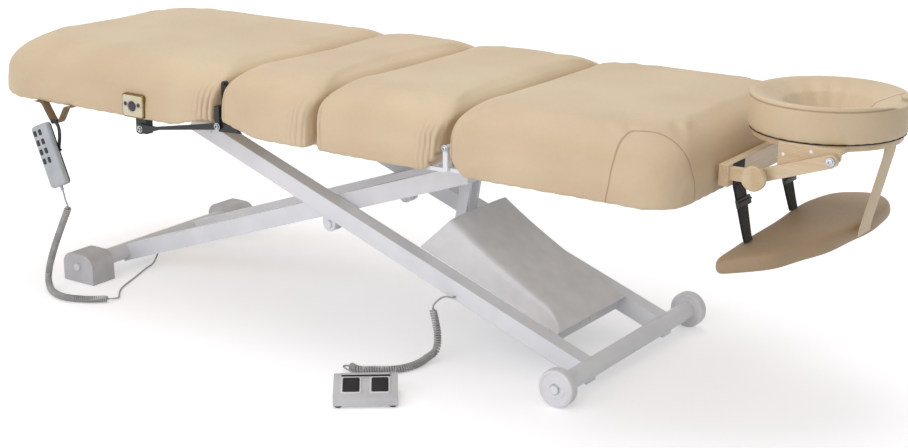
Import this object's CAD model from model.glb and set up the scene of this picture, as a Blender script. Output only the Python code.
# %% [markdown]
# # A massage table that lifts on a scissor frame
#
# This lesson dresses a finished CAD model: four padded sections on a level deck, an
# X-frame of square tubes, a face cradle, an armrest shelf, a handset on a curly cord and
# a two-pedal foot switch. The CAD model gives every size and place; Blender adds what
# the eye looks for in the real thing: taut upholstery, powder coat, moulded plastic,
# lacquered birch and woven straps. Each step below says what the piece is on the real
# table, how it could be made, and why this way was chosen.

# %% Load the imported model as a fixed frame
import math

import bpy
import bmesh
import numpy as np
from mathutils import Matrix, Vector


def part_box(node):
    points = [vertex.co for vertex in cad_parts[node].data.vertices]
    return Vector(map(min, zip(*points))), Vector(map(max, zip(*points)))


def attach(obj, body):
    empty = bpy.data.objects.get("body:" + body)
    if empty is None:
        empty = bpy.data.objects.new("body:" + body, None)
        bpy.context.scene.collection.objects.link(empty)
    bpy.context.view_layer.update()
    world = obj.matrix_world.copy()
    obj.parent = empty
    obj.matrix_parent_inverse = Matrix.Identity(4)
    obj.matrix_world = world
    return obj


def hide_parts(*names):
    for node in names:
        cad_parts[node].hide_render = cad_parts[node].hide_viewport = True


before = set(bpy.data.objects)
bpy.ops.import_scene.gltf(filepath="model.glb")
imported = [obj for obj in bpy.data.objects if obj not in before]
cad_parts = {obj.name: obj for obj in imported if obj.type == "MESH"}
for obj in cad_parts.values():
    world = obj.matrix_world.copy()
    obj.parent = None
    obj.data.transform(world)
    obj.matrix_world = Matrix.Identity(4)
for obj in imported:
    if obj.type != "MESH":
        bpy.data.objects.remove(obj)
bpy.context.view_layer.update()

# %% [markdown]
# ## Drawing millimetres and row metres
#
# The lengths below are read off the drawing of the table, in millimetres: x runs along
# the top from its middle to the face cradle, y is the side away from the handset, and
# z = 0 is the floor. Blender wants metres in the model's own frame. The two differ by a
# plain shift, which is found from the wheel axle, a piece that both know.

# %% From drawing millimetres to the row frame
axle_low, axle_high = (np.array(corner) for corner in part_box("wheel_axle"))
axle_middle = (axle_low + axle_high) / 2
drawing_to_row = axle_middle - np.array([660.0, 0.0, 40.0]) / 1000
print("drawing origin in the row frame:", drawing_to_row.round(5))


def row(points_mm):
    """Drawing millimetres to metres in the row frame: divide by 1000, add the shift."""
    return np.asarray(points_mm, dtype=float) / 1000 + drawing_to_row


# %% [markdown]
# ## The camera
#
# The photograph was solved for its camera: straight lines of the frame and top give the
# direction, and two assumed widths, 690 mm for the top and 40 mm for the tubes, give the
# distance. A long lens (66 mm on a 36 mm sensor) stands
# to the right of the table's near side and looks 17 degrees down.

# %% Camera
camera_data = bpy.data.cameras.new("photograph_camera")
sensor_mm, focal_pixels, photo_pixels = 36.0, 1664.9, 908
camera_data.sensor_width = sensor_mm
camera_data.lens = focal_pixels / photo_pixels * sensor_mm
camera = bpy.data.objects.new("photograph_camera", camera_data)
bpy.context.scene.collection.objects.link(camera)
camera_turn, camera_dip = 0.6078, 0.2937
camera.location = row([2243.9, -2919.7, 1307.9])
camera.rotation_euler = (math.pi / 2 - camera_dip, 0.0, camera_turn)
bpy.context.scene.camera = camera
bpy.context.scene.view_settings.view_transform = "Standard"
print("lens, mm:", round(camera_data.lens, 2))

# %% [markdown]
# ## Curly cords
#
# A curly cord is a round PVC cable wound hot on a rod: it keeps the coil, hangs from the
# handset, turns over at the floor and lies there. A swept tube is the honest way to make
# it, and Blender's curve objects sweep a round section by themselves, so only the
# centreline has to be worked out. The route is a smooth curve through chosen points, and
# the coil is a circle that travels along it.


# %% A smooth route through chosen points
def smooth_route(points, steps=24):
    """Centripetal Catmull-Rom spline through the points: each span is a cubic whose end
    slopes come from its neighbours, with knots spaced by the square root of the chords.
    Returns steps points for each span, and then the last point."""
    p = np.asarray(points, dtype=float)
    p = np.vstack([2 * p[0] - p[1], p, 2 * p[-1] - p[-2]])
    chord = np.sqrt(np.linalg.norm(np.diff(p, axis=0), axis=1))
    t0, t1, t2, t3 = (np.zeros(len(p) - 3), chord[:-2], chord[:-2] + chord[1:-1],
                      chord[:-2] + chord[1:-1] + chord[2:])
    u = np.linspace(0, 1, steps, endpoint=False)[None, :, None]
    t0, t1, t2, t3 = (t[:, None, None] for t in (t0, t1, t2, t3))
    t = t1 + (t2 - t1) * u
    a, b, c, d = (p[i:len(p) - 3 + i][:, None, :] for i in range(4))
    ab = (t1 - t) / (t1 - t0) * a + (t - t0) / (t1 - t0) * b
    bc = (t2 - t) / (t2 - t1) * b + (t - t1) / (t2 - t1) * c
    cd = (t3 - t) / (t3 - t2) * c + (t - t2) / (t3 - t2) * d
    abc = (t2 - t) / (t2 - t0) * ab + (t - t0) / (t2 - t0) * bc
    bcd = (t3 - t) / (t3 - t1) * bc + (t - t1) / (t3 - t1) * cd
    line = ((t2 - t) / (t2 - t1) * abc + (t - t1) / (t2 - t1) * bcd).reshape(-1, 3)
    return np.vstack([line, points[-1]])


def run_along(line):
    """Length from the start of a line to each of its points."""
    return np.concatenate([[0.0], np.cumsum(np.linalg.norm(np.diff(line, axis=0), axis=1))])


def even(line, lengths):
    """The points of a line at the given lengths from its start."""
    run = run_along(line)
    return np.stack([np.interp(lengths, run, line[:, k]) for k in range(3)], axis=1)


# %% [markdown]
# The circle of the coil needs two directions square to the route at every station. They
# are carried from one station to the next by the smallest turn that follows the route,
# so that the coil never twists on itself where the route turns a corner.


# %% Directions square to a route
def carried_frame(line, first_side=(0.0, 1.0, 0.0)):
    """Tangents, and two directions square to them that turn no more than the line does:
    each station's side is the one before, with its part along the new tangent removed."""
    tangent = np.gradient(line, axis=0)
    tangent /= np.linalg.norm(tangent, axis=1)[:, None]
    side = np.empty_like(line)
    carried = np.asarray(first_side, dtype=float)
    for station, direction in enumerate(tangent):
        carried = carried - direction * carried.dot(direction)
        carried /= np.linalg.norm(carried)
        side[station] = carried
    return tangent, side, np.cross(tangent, side)


def curly_line(points, curl_from, curl_to, curls, coil_radius, per_curl=14):
    """A route that winds into curls between two of its points: route + r (cos a, sin a)
    in the carried directions, where a grows by one turn per curl and the radius r eases
    in and out over the first and the last curl."""
    steps = 24
    line = smooth_route(points, steps)
    run = run_along(line)
    start, stop, end = run[curl_from * steps], run[curl_to * steps], run[-1]
    stations = even(line, np.linspace(start, stop, 400))
    _, side, up = carried_frame(stations)
    share = np.linspace(0, 1, curls * per_curl + 1)
    middle = even(stations, share * run_along(stations)[-1])
    grid = np.linspace(0, 1, len(stations))
    side, up = (np.stack([np.interp(share, grid, v[:, k]) for k in range(3)], axis=1) for v in (side, up))
    ease = np.clip(np.minimum(share, 1 - share) * curls, 0, 1)
    radius = (coil_radius * ease**2 * (3 - 2 * ease))[:, None]
    angle = (2 * math.pi * curls * share)[:, None]
    coil = middle + radius * (np.cos(angle) * side + np.sin(angle) * up)
    lead = even(line, np.linspace(0, start, max(4, int(start / 6)), endpoint=False))
    tail = even(line, np.linspace(stop, end, max(4, int((end - stop) / 6)))[1:])
    return np.vstack([lead, coil, tail])


# %% [markdown]
# Both routes repeat the points of the CAD model's cords. The handset's cord hangs plain
# for a hand's width, curls down to the floor and along it, and runs plain under the foot
# frame. The foot switch's cord curls from behind the switch up to the wheel frame.

# %% The two cords
cord_radius = 2.0
coil_radius = 6.7
above_floor = 0.3
floor_curl = coil_radius + cord_radius + above_floor
floor_cord = cord_radius + above_floor
hang = math.radians(22.5)
hang_down = np.array([math.sin(hang), 0.0, -math.cos(hang)])
handset_middle = np.array([-684.0, -362.0, 335.0])
half_case, gland_length = 76.0, 10.0
gland_end = handset_middle + hang_down * (half_case + gland_length + 0.3)
handset_points = [
    gland_end, gland_end + hang_down * 8, gland_end + [4, 3, -25], [-648, -352, 213],
    [-652, -352, 203], [-665, -353, 178], [-684, -356, 138], [-704, -360, 90], [-715, -364, 52],
    [-715, -369, 26], [-702, -377, floor_curl + 2], [-680, -390, floor_curl], [-650, -401, floor_curl],
    [-619, -404, floor_curl], [-571, -387, floor_curl], [-528, -354, floor_curl], [-520, -343, floor_curl - 1],
    [-528, -322, floor_cord + 1], [-549, -300, floor_cord], [-573, -268, floor_cord], [-604, -195, floor_cord],
    [-630, -130, floor_cord + 1], [-637, -96, 8], [-631, -88, 27], [-618, -86, 50], [-608, -87, 61],
    [-602, -89, 66], [-602, -94, 66], [-602, -99.7, 66],
]
switch_turn = math.radians(36.9)
switch_along = np.array([math.cos(switch_turn), math.sin(switch_turn), 0.0])
switch_back = np.array([-math.sin(switch_turn), math.cos(switch_turn), 0.0])
switch_middle = np.array([325.0, -472.0, 0.0])
switch_gland = switch_middle - switch_along * 42.5 + switch_back * 46.3 + [0, 0, 15.2]
foot_points = [
    switch_gland, switch_gland + [-7, 9, 0], [switch_gland[0] - 24, -397, floor_curl - 1],
    [189, -374, floor_curl], [199, -365, floor_curl], [226, -370, floor_curl], [258, -350, floor_curl],
    [293, -322, floor_curl], [309, -281, floor_curl], [311, -243, floor_curl + 3], [315, -215, 22],
    [312, -204, 50], [303, -200, 84], [297, -200, 108], [298, -200, 114], [303, -200, 122],
    [320, -200, 137], [332, -199, 142], [342, -197, 141], [344, -192, 140], [344, -184.3, 140],
]
cord_lines = {
    "handset_lead": curly_line(handset_points, 3, 15, 86, coil_radius),
    "foot_switch_lead": curly_line(foot_points, 4, 13, 60, coil_radius),
}
print({name: round(run_along(line)[-1]) for name, line in cord_lines.items()}, "mm of cord")


# %% Sweep a round section along each cord
def cord_piece(name, line, radius, node, body):
    """A curve object of one open spline through the line, declared as a free cord of its
    own length. The bevel is one metre times each point's radius, so the points carry the
    cord's own radius, which Blender also counts in the object's box."""
    data = bpy.data.curves.new(name, "CURVE")
    data.dimensions = "3D"
    data.bevel_depth = 1.0
    data.bevel_resolution = 2
    data.use_fill_caps = True
    spline = data.splines.new("POLY")
    spline.points.add(len(line) - 1)
    points = row(line)
    spline.points.foreach_set("co", np.hstack([points, np.ones((len(points), 1))]).ravel())
    spline.points.foreach_set("radius", np.full(len(points), radius / 1000))
    spline.use_smooth = True
    piece = bpy.data.objects.new(name, data)
    bpy.context.scene.collection.objects.link(piece)
    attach(piece, body)
    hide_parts(node)
    return piece


handset_lead = cord_piece("handset_lead", cord_lines["handset_lead"], cord_radius, "handset_cord", "base")
foot_switch_lead = cord_piece("foot_switch_lead", cord_lines["foot_switch_lead"], cord_radius,
                              "foot_switch_cord", "base")

# %% [markdown]
# ## Surfaces from arrays
#
# Every new piece is a surface worked out with numpy. A surface is a grid of points: one
# parameter runs round a section, the other along it. These few helpers turn such grids
# into closed meshes; several grids can make up one piece.


# %% Grids to meshes
def quads(rows_n, columns_n, wrap_rows=False, wrap_columns=False):
    """The four corner numbers of every cell of a grid, with or without a seam to close."""
    r = np.arange(rows_n if wrap_rows else rows_n - 1)[:, None]
    c = np.arange(columns_n if wrap_columns else columns_n - 1)[None, :]
    r2, c2 = (r + 1) % rows_n, (c + 1) % columns_n
    return np.stack(np.broadcast_arrays(r * columns_n + c, r * columns_n + c2,
                                        r2 * columns_n + c2, r2 * columns_n + c), axis=-1).reshape(-1, 4)


def closed_tube(rings):
    """A tube of rings (rings, points, 3) whose two ends are closed with one face each."""
    n, m = rings.shape[:2]
    faces = [tuple(f) for f in quads(n, m, wrap_columns=True).tolist()]
    faces += [tuple(range(m))[::-1], tuple(range((n - 1) * m, n * m))]
    return rings.reshape(-1, 3), faces


def closed_ring(rings):
    """A ring of sections (sections, points, 3) that closes on itself both ways."""
    n, m = rings.shape[:2]
    return rings.reshape(-1, 3), [tuple(f) for f in quads(n, m, True, True).tolist()]


def piece_of(name, parts, body, replaces=(), smooth_angle=35.0):
    """One object from several (points in mm, faces) parts, with its place in its mesh, its
    faces turned outwards, smooth but for edges sharper than the given angle."""
    points, faces, base = [], [], 0
    for part_points, part_faces in parts:
        points.append(np.asarray(part_points, dtype=float))
        faces += [tuple(i + base for i in face) for face in part_faces]
        base += len(part_points)
    mesh = bpy.data.meshes.new(name)
    mesh.from_pydata(row(np.vstack(points)).tolist(), [], faces)
    work = bmesh.new()
    work.from_mesh(mesh)
    bmesh.ops.recalc_face_normals(work, faces=work.faces)
    limit = math.radians(smooth_angle)
    for edge in work.edges:
        edge.smooth = len(edge.link_faces) == 2 and edge.calc_face_angle(0.0) < limit
    for face in work.faces:
        face.smooth = True
    work.to_mesh(mesh)
    work.free()
    piece = bpy.data.objects.new(name, mesh)
    bpy.context.scene.collection.objects.link(piece)
    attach(piece, body)
    if replaces:
        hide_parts(*replaces)
    return piece


# %% [markdown]
# Three shapes come up again and again on hardware: a box with rounded edges, a turned
# piece, and a strip with a fixed section. A rounded box is a ball pulled apart along the
# three axes; a turned piece is a profile carried round an axis.


# %% Rounded boxes, turned pieces and strips
def rounded_box(size, radius, centre=(0, 0, 0), turn=None, around=32, up=16):
    """A ball of the given radius whose eight octants are moved apart to the box's corners:
    point = sign(n) (half - r) + r n for every direction n of the ball. turn is a 3x3
    matrix about the centre."""
    a = (np.arange(around) + 0.5) / around * 2 * math.pi
    b = (np.arange(up) + 0.5) / up * math.pi - math.pi / 2
    n = np.stack([np.cos(b)[:, None] * np.cos(a), np.cos(b)[:, None] * np.sin(a),
                  np.broadcast_to(np.sin(b)[:, None], (up, around))], axis=-1)
    core = np.asarray(size, dtype=float) / 2 - radius
    points = np.sign(n) * core + radius * n / np.abs(n).max(axis=(0, 1))
    if turn is not None:
        points = points @ np.asarray(turn).T
    return closed_tube(points + np.asarray(centre, dtype=float))


AXES = {"x": ((0, 1, 0), (0, 0, 1), (1, 0, 0)), "y": ((0, 0, 1), (1, 0, 0), (0, 1, 0)),
        "z": ((1, 0, 0), (0, 1, 0), (0, 0, 1))}


def turned(profile, centre, axis="y", around=40, turn=None):
    """A profile of (radius, along) pairs carried round an axis: centre + radius (cos a, sin a)
    square to the axis + along the axis. Its ends are closed."""
    profile = np.asarray(profile, dtype=float)
    a = np.arange(around) / around * 2 * math.pi
    u, v, w = (np.asarray(d, dtype=float) for d in AXES[axis])
    rings = (profile[:, 0, None, None] * (np.cos(a)[:, None] * u + np.sin(a)[:, None] * v)
             + profile[:, 1, None, None] * w)
    if turn is not None:
        rings = rings @ np.asarray(turn).T
    return closed_tube(rings + np.asarray(centre, dtype=float))


def about_y(degrees):
    """The matrix that turns about +y; a positive angle takes +z towards +x."""
    c, s = math.cos(math.radians(degrees)), math.sin(math.radians(degrees))
    return np.array([[c, 0, s], [0, 1, 0], [-s, 0, c]])


def about_z(degrees):
    """The matrix that turns about +z; a positive angle takes +x towards +y."""
    c, s = math.cos(math.radians(degrees)), math.sin(math.radians(degrees))
    return np.array([[c, -s, 0], [s, c, 0], [0, 0, 1]])


def bolt_head(centre, axis, out, radius=7.5, height=5.0, washer=10.5):
    """A round socket head on its washer: a turned profile that steps in at the washer,
    rounds over at the rim and sinks into the key's recess. out is +1 or -1 along axis."""
    profile = [(0.1, -0.4), (washer, -0.4), (washer, 0.9), (washer - 0.6, 1.4), (radius, 1.4),
               (radius, height - 1.2), (radius - 0.4, height - 0.3), (radius - 1.4, height),
               (radius * 0.52, height), (radius * 0.46, height - 0.5), (radius * 0.44, height - 3), (0.1, height - 3)]
    return turned([(r, z * out) for r, z in profile], centre, axis, 30)


# %% [markdown]
# ## Stage and light
#
# The table stands in a white studio. A large pale floor catches its soft shadow. Three big
# soft lamps light it: one overhead, one from the camera's left and low enough to light the
# frame's sides, which the top would otherwise leave dark, and a fill from high in front of
# the cradle. To the camera and to mirrors the world is plain white, and the floor glows
# more the further it is from the table, so that it fades into that white.

# %% Nodes and colours
def linear(hex_colour, alpha=1.0):
    """An sRGB hex colour as the linear numbers that shaders take."""
    c = np.array([int(hex_colour[i:i + 2], 16) for i in (1, 3, 5)]) / 255
    c = np.where(c <= 0.04045, c / 12.92, ((c + 0.055) / 1.055) ** 2.4)
    return (*c.tolist(), alpha)


def add(tree, kind, inputs=None, **settings):
    """Adds a node with its settings. Each input takes a value, another node, whose first
    output is meant, or one of its outputs."""
    node = tree.nodes.new(kind)
    for name, value in settings.items():
        setattr(node, name, value)
    for name, value in (inputs or {}).items():
        if isinstance(value, bpy.types.Node):
            value = value.outputs[0]
        if isinstance(value, bpy.types.NodeSocket):
            tree.links.new(value, node.inputs[name])
        else:
            node.inputs[name].default_value = value
    return node


# %% Floor, world and lamps
floor_mesh = bpy.data.meshes.new("studio_floor")
reach = 60.0
floor_mesh.from_pydata([(-reach, -reach, 0), (reach, -reach, 0), (reach, reach, 0), (-reach, reach, 0)],
                       [], [(0, 1, 2, 3)])
studio_floor = bpy.data.objects.new("studio_floor", floor_mesh)
studio_floor.location.z = -0.0005
bpy.context.scene.collection.objects.link(studio_floor)
paper = bpy.data.materials.new("matte white paper floor")
paper.use_nodes = True
tree = paper.node_tree
tree.nodes.clear()
path = add(tree, "ShaderNodeLightPath")
seen = add(tree, "ShaderNodeMath", {0: path.outputs["Is Camera Ray"], 1: path.outputs["Is Glossy Ray"]},
           operation="MAXIMUM")
away = add(tree, "ShaderNodeVectorMath", {0: add(tree, "ShaderNodeTexCoord").outputs["Object"]}, operation="LENGTH")
level = add(tree, "ShaderNodeMapRange", {"Value": away.outputs["Value"], "From Min": 0.7, "From Max": 2.6,
                                         "To Min": 0.34, "To Max": 0.62})
glow = add(tree, "ShaderNodeEmission", {"Strength": add(tree, "ShaderNodeMath", {0: seen, 1: level},
                                                        operation="MULTIPLY")})
paper_surface = add(tree, "ShaderNodeAddShader", {0: add(tree, "ShaderNodeBsdfDiffuse", {"Color": linear("#F6F6F7")}),
                                                  1: glow})
add(tree, "ShaderNodeOutputMaterial", {"Surface": paper_surface})
floor_mesh.materials.append(paper)

world = bpy.data.worlds.new("white studio")
bpy.context.scene.world = world
world.use_nodes = True
tree = world.node_tree
tree.nodes.clear()
path = add(tree, "ShaderNodeLightPath")
seen = add(tree, "ShaderNodeMath", {0: path.outputs["Is Camera Ray"], 1: path.outputs["Is Glossy Ray"]},
           operation="MAXIMUM")
strength = add(tree, "ShaderNodeMapRange", {"Value": seen, "To Min": 0.56, "To Max": 1.0})
add(tree, "ShaderNodeOutputWorld", {"Surface": add(tree, "ShaderNodeBackground", {"Strength": strength})})


def soft_lamp(name, position_mm, target_mm, size_m, power, colour=(1.0, 1.0, 1.0)):
    """A square area lamp that faces its target."""
    data = bpy.data.lights.new(name, "AREA")
    data.shape = "SQUARE"
    data.size = size_m
    data.energy = power
    data.color = colour
    lamp = bpy.data.objects.new(name, data)
    bpy.context.scene.collection.objects.link(lamp)
    place, aim = row(position_mm), row(target_mm)
    direction = (aim - place) / np.linalg.norm(aim - place)
    lamp.location = place
    lamp.rotation_euler = (math.acos(-direction[2]), 0.0, math.atan2(-direction[0], direction[1]))
    return lamp


soft_lamp("overhead_softbox", (-300, 300, 3600), (100, 0, 500), 3.2, 52)
soft_lamp("front_softbox", (-700, -4300, 1700), (100, 0, 350), 3.0, 50, (1.0, 0.95, 1.05))
soft_lamp("right_fill", (1700, -3700, 2500), (900, 0, 350), 2.4, 26)
print("stage ready")

# %% [markdown]
# ## Materials
#
# Each material starts from what the real one is and how its surface was made. Patterns
# are scaled in real millimetres on Object coordinates, because every piece has its place
# in its mesh, so a pattern stays put on the surface from every side.


# %% A material's start and end
def new_material(name):
    """An empty material, and its pattern place: Object coordinates times 1000, so that the
    size of a pattern can be given in millimetres."""
    material = bpy.data.materials.new(name)
    material.use_nodes = True
    tree = material.node_tree
    tree.nodes.clear()
    place = add(tree, "ShaderNodeMapping", {"Vector": add(tree, "ShaderNodeTexCoord").outputs["Object"],
                                            "Scale": (1000.0, 1000.0, 1000.0)})
    return material, tree, place


def finish_material(tree, inputs):
    """The Principled shader with its inputs, wired to the material's output."""
    add(tree, "ShaderNodeOutputMaterial", {"Surface": add(tree, "ShaderNodeBsdfPrincipled", inputs)})


# %% [markdown]
# **Upholstery.** The cover is polyurethane-coated fabric: a soft plastic skin with a
# fine pebbled grain and a satin sheen. Such grain is usually finer than a millimetre;
# here its cells are 1.1 mm, so that they show at all from this distance. Broad,
# faint changes of tone stand for how such skin takes light over foam. Two attributes
# carry what the mesh is too coarse for: seam holds the distance to the nearest sewn line
# in millimetres, and fold says how deep a point lies in a fold.


# %% Upholstery
def coated_fabric(name, colour="#DAC5A3", shade="#D1B998"):
    """Coated cover: broad and fine tone, pebbled grain, a thin dark groove where the
    attribute seam is near zero, and browner folds where the attribute fold is high."""
    material, tree, place = new_material(name)
    broad = add(tree, "ShaderNodeTexNoise", {"Vector": place, "Scale": 1 / 240, "Detail": 2.0})
    share = add(tree, "ShaderNodeMapRange", {"Value": broad, "From Min": 0.35, "From Max": 0.65})
    tone = add(tree, "ShaderNodeMix", {0: share, 6: linear(shade), 7: linear(colour)}, data_type="RGBA")
    fine = add(tree, "ShaderNodeTexNoise", {"Vector": place, "Scale": 1 / 7, "Detail": 3.0})
    share = add(tree, "ShaderNodeMapRange", {"Value": fine, "From Min": 0.3, "From Max": 0.7, "To Max": 0.05})
    tone = add(tree, "ShaderNodeMix", {0: share, 6: tone.outputs[2], 7: linear("#B2936E")}, data_type="RGBA")
    crease = add(tree, "ShaderNodeAttribute", attribute_name="fold")
    share = add(tree, "ShaderNodeMapRange", {"Value": crease.outputs["Fac"], "To Max": 0.8})
    tone = add(tree, "ShaderNodeMix", {0: share, 6: tone.outputs[2], 7: linear("#6E4F35")}, data_type="RGBA")
    seam = add(tree, "ShaderNodeAttribute", attribute_name="seam")
    apart = add(tree, "ShaderNodeMath", {0: seam.outputs["Fac"]}, operation="ABSOLUTE")
    share = add(tree, "ShaderNodeMapRange", {"Value": apart, "From Min": 0.5, "From Max": 2.6,
                                             "To Min": 0.62, "To Max": 0.0})
    tone = add(tree, "ShaderNodeMix", {0: share, 6: tone.outputs[2], 7: linear("#8A6E4E")}, data_type="RGBA")
    cells = add(tree, "ShaderNodeTexVoronoi", {"Vector": place, "Scale": 1 / 1.1}, feature="SMOOTH_F1")
    pebble = add(tree, "ShaderNodeMapRange", {"Value": cells, "From Max": 0.7, "To Min": 1.0, "To Max": 0.0})
    groove = add(tree, "ShaderNodeMapRange", {"Value": apart, "From Max": 5.0, "To Min": -1.8, "To Max": 0.0})
    height = add(tree, "ShaderNodeMath", {0: pebble, 1: groove}, operation="ADD")
    bump = add(tree, "ShaderNodeBump", {"Height": height, "Strength": 0.35, "Distance": 0.0006})
    rough = add(tree, "ShaderNodeMapRange", {"Value": fine, "From Min": 0.3, "From Max": 0.7,
                                             "To Min": 0.46, "To Max": 0.56})
    finish_material(tree, {"Base Color": tone.outputs[2], "Roughness": rough, "IOR": 1.47,
                           "Sheen Weight": 0.06, "Normal": bump})
    return material


upholstery = coated_fabric("polyurethane coated upholstery")

# %% [markdown]
# **Metal and plastic.** The frame is steel tube under a powder coat, which levels out
# with a faint orange peel of 2 to 3 mm. The hinge arms are dipped black, bolts are zinc
# plated, and the cover, feet, handset and switch are moulded ABS with a fine spark-eroded
# texture. All are one recipe: a slow change of tone, and a fine height noise that also
# breaks up the gloss.


# %% Coats, plastics and metals
def even_surface(name, colour, shade, roughness, grain_mm, depth, tone_mm=60.0, swing=0.06, **sockets):
    """Two close tones in blobs of tone_mm; grain of grain_mm that lifts the surface and
    swings the roughness; any other socket of the shader by its name."""
    material, tree, place = new_material(name)
    slow = add(tree, "ShaderNodeTexNoise", {"Vector": place, "Scale": 1 / tone_mm, "Detail": 2.0})
    share = add(tree, "ShaderNodeMapRange", {"Value": slow, "From Min": 0.35, "From Max": 0.65})
    tone = add(tree, "ShaderNodeMix", {0: share, 6: linear(colour), 7: linear(shade)}, data_type="RGBA")
    grain = add(tree, "ShaderNodeTexNoise", {"Vector": place, "Scale": 1 / grain_mm, "Detail": 3.0})
    rough = add(tree, "ShaderNodeMapRange", {"Value": grain, "From Min": 0.3, "From Max": 0.7,
                                             "To Min": roughness - swing, "To Max": roughness + swing})
    bump = add(tree, "ShaderNodeBump", {"Height": grain, "Strength": depth, "Distance": 0.0003})
    inputs = {"Base Color": tone.outputs[2], "Roughness": rough, "Normal": bump}
    inputs.update({socket.replace("_", " "): value for socket, value in sockets.items()})
    finish_material(tree, inputs)
    return material


powder_coat = even_surface("light grey powder coat", "#ECEEF1", "#E4E6E9", 0.38, 2.6, 0.35, 90.0)
black_dip = even_surface("black dip coat", "#141415", "#1C1C1E", 0.36, 3.5, 0.35)
zinc_plate = even_surface("zinc plated steel", "#C9CCCF", "#AEB2B6", 0.34, 0.8, 0.15, 6.0, 0.1, Metallic=1.0)
chromed_rod = even_surface("hard chromed rod", "#C4C8CC", "#B4B8BC", 0.2, 0.8, 0.05, 20.0, 0.05, Metallic=1.0)
bronze_edge = even_surface("bronze anodised edge", "#8F7B4A", "#7C6A40", 0.35, 1.0, 0.1, 8.0, Metallic=1.0)
grey_abs = even_surface("light grey ABS, fine texture", "#E6E6E6", "#DEDEDF", 0.5, 0.9, 0.3, 45.0)
foot_nylon = even_surface("grey glass filled nylon", "#CFCFCF", "#C5C5C6", 0.52, 1.2, 0.3, 45.0)
handset_abs = even_surface("pale grey ABS", "#BAC0C3", "#AFB5B8", 0.45, 0.9, 0.25, 45.0)
wheel_nylon = even_surface("light grey cast nylon", "#EAEAEB", "#E0E0E2", 0.55, 1.4, 0.3)
black_abs = even_surface("black ABS", "#19191A", "#232325", 0.42, 0.9, 0.3)
black_rubber = even_surface("black rubber", "#151515", "#202020", 0.72, 1.0, 0.5)
cord_pvc = even_surface("grey PVC sheath", "#B4B4B2", "#9C9C9A", 0.42, 3.0, 0.15, 30.0)
socket_dark = even_surface("dark violet phenolic", "#23212B", "#2E2B38", 0.3, 2.0, 0.1)
cream_abs = even_surface("cream ABS", "#DDD3B8", "#D4C9AC", 0.42, 0.9, 0.2)

# %% [markdown]
# **Birch.** The cradle is cut from birch plywood and clear lacquered. Its faces show long
# pale grain; its edges show the plies, about 1.4 mm thick, light and dark by turns. The
# grain is noise stretched along the board; the plies are bands across it, and they show
# only where the surface faces away from the ply direction, that is on the edges.


# %% Lacquered birch plywood
def birch_plywood(name, along="x", across="z", ply_mm=1.4, colour="#D9C3A2", dark="#BE9F72"):
    """Grain along one axis: noise pulled 30 times longer that way. Plies across another:
    sine(pi x / ply), shown where the normal leans away from that axis."""
    material, tree, place = new_material(name)
    pulled = add(tree, "ShaderNodeMapping", {"Vector": place,
                                             "Scale": tuple(0.035 if axis == along else 1.0 for axis in "xyz")})
    grain = add(tree, "ShaderNodeTexNoise", {"Vector": pulled, "Scale": 1 / 2.2, "Detail": 5.0, "Roughness": 0.6})
    share = add(tree, "ShaderNodeMapRange", {"Value": grain, "From Min": 0.35, "From Max": 0.72})
    tone = add(tree, "ShaderNodeMix", {0: share, 6: linear(colour), 7: linear("#C9AC80")}, data_type="RGBA")
    slow = add(tree, "ShaderNodeTexNoise", {"Vector": pulled, "Scale": 1 / 22, "Detail": 2.0})
    share = add(tree, "ShaderNodeMapRange", {"Value": slow, "From Min": 0.35, "From Max": 0.65, "To Max": 0.35})
    tone = add(tree, "ShaderNodeMix", {0: share, 6: tone.outputs[2], 7: linear("#E6D8BE")}, data_type="RGBA")
    turns = add(tree, "ShaderNodeMath", {0: add(tree, "ShaderNodeSeparateXYZ", {0: place}).outputs[across.upper()],
                                         1: math.pi / ply_mm}, operation="MULTIPLY")
    wave = add(tree, "ShaderNodeMath", {0: turns}, operation="SINE")
    band = add(tree, "ShaderNodeMapRange", {"Value": wave, "From Min": 0.1, "From Max": 0.5, "To Max": 0.55})
    normal = add(tree, "ShaderNodeNewGeometry").outputs["Normal"]
    lean = add(tree, "ShaderNodeMath", {0: add(tree, "ShaderNodeSeparateXYZ", {0: normal}).outputs[across.upper()]},
               operation="ABSOLUTE")
    edge = add(tree, "ShaderNodeMapRange", {"Value": lean, "From Min": 0.3, "From Max": 0.6,
                                            "To Min": 1.0, "To Max": 0.0})
    share = add(tree, "ShaderNodeMath", {0: band, 1: edge}, operation="MULTIPLY")
    tone = add(tree, "ShaderNodeMix", {0: share, 6: tone.outputs[2], 7: linear(dark)}, data_type="RGBA")
    rough = add(tree, "ShaderNodeMapRange", {"Value": grain, "From Min": 0.3, "From Max": 0.7,
                                             "To Min": 0.3, "To Max": 0.42})
    bump = add(tree, "ShaderNodeBump", {"Height": grain, "Strength": 0.15, "Distance": 0.0003})
    finish_material(tree, {"Base Color": tone.outputs[2], "Roughness": rough, "Coat Weight": 0.25,
                           "Coat Roughness": 0.2, "Normal": bump})
    return material


flat_birch = birch_plywood("lacquered birch plywood, laid flat")
upright_birch = birch_plywood("lacquered birch plywood, on edge", "x", "y")
bar_birch = birch_plywood("lacquered birch crossbar", "y", "x")
knob_birch = birch_plywood("turned birch", "y", "x", 60)

# %% [markdown]
# **Webbing.** Straps are woven flat from nylon or cotton: ribs run across the strap,
# about 1.6 mm apart, and the threads of each rib lean the other way from the next. Two
# waves, one across and one along, make that weave.


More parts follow.
